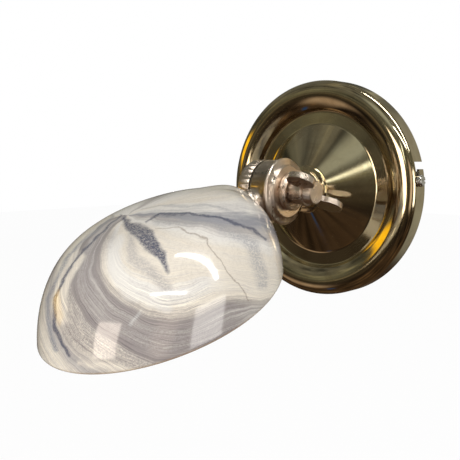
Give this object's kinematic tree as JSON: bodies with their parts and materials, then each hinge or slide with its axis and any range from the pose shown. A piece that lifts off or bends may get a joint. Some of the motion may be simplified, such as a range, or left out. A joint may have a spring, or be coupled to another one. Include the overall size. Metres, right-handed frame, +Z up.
{
  "type": "shell wall sconce",
  "caption": "Wall sconce with a round stepped plated cover, a serrated clamp knuckle with a thumb screw, and a downward oval shell shade in marbled glaze.",
  "frame": {"origin": "middle of the wall fixing, on the wall plane", "axes": "+Z up, the light stands out from the wall towards -Y, +X to the right of someone who faces the wall"},
  "size_m": [0.1254, 0.1872, 0.1267],
  "materials": {
    "plated": "dark nickel plate, polished",
    "plated_cover": "dark nickel plate on a spun shell, polished",
    "bracket_steel": "bright zinc plate",
    "screw_steel": "nickel plated",
    "block_plastic": "moulded, matt",
    "holder_plastic": "moulded, satin black",
    "bare_brass": "bare, drawn",
    "fibre": "pressed fibre, matt",
    "marbled_glaze": "marbled cream and slate glaze, gloss",
    "lamp_cap_metal": "rolled",
    "lamp_glass": "frosted"
  },
  "bodies": {
    "base": {"wall_bracket": "bracket_steel", "side_screws": "screw_steel", "terminal_block": "block_plastic", "terminal_inserts": "bare_brass", "terminal_screws": "screw_steel", "terminal_block_screw": "screw_steel", "earth_screw": "bare_brass", "earth_washer": "bare_brass"},
    "cover_and_arm": {"cover": "plated_cover", "arm_collar": "plated", "knuckle_fixed_half": "plated", "arm_washer": "fibre", "arm_nut": "bare_brass"},
    "clamp": {"pressure_washer": "plated"},
    "thumb": {"thumb_screw": "plated"},
    "head": {"knuckle_moving_half": "plated", "shade_cup": "plated", "outer_seal": "fibre", "shade": "marbled_glaze", "inner_seal": "fibre", "shade_nut": "bare_brass", "lampholder_cap": "holder_plastic", "lampholder_body": "holder_plastic", "lampholder_liner": "bare_brass", "centre_contact": "bare_brass", "lamp_cap": "lamp_cap_metal", "lamp_glass": "lamp_glass"}
  },
  "joints": [
    {"name": "cover_twist", "type": "hinge", "parent": "base", "child": "cover_and_arm", "pos_m": [0, 0, 0], "axis": [0, 1, 0], "range_deg": [0, 7.6]},
    {"name": "knuckle_clamp", "type": "slide", "parent": "cover_and_arm", "child": "clamp", "axis": [1, 0, 0], "range_m": [-0.000847, 0]},
    {"name": "thumb_screw_turn", "type": "hinge", "parent": "clamp", "child": "thumb", "pos_m": [0, -0.055, 0], "axis": [1, 0, 0], "range_deg": [-305, 0]},
    {"name": "shade_tilt", "type": "hinge", "parent": "clamp", "child": "head", "pos_m": [0, -0.055, 0], "axis": [1, 0, 0], "range_deg": [-40, 50]}
  ],
  "couplings": [
    {"joint": "thumb_screw_turn", "follows": "knuckle_clamp", "rad_per_m": 6283.2}
  ]
}
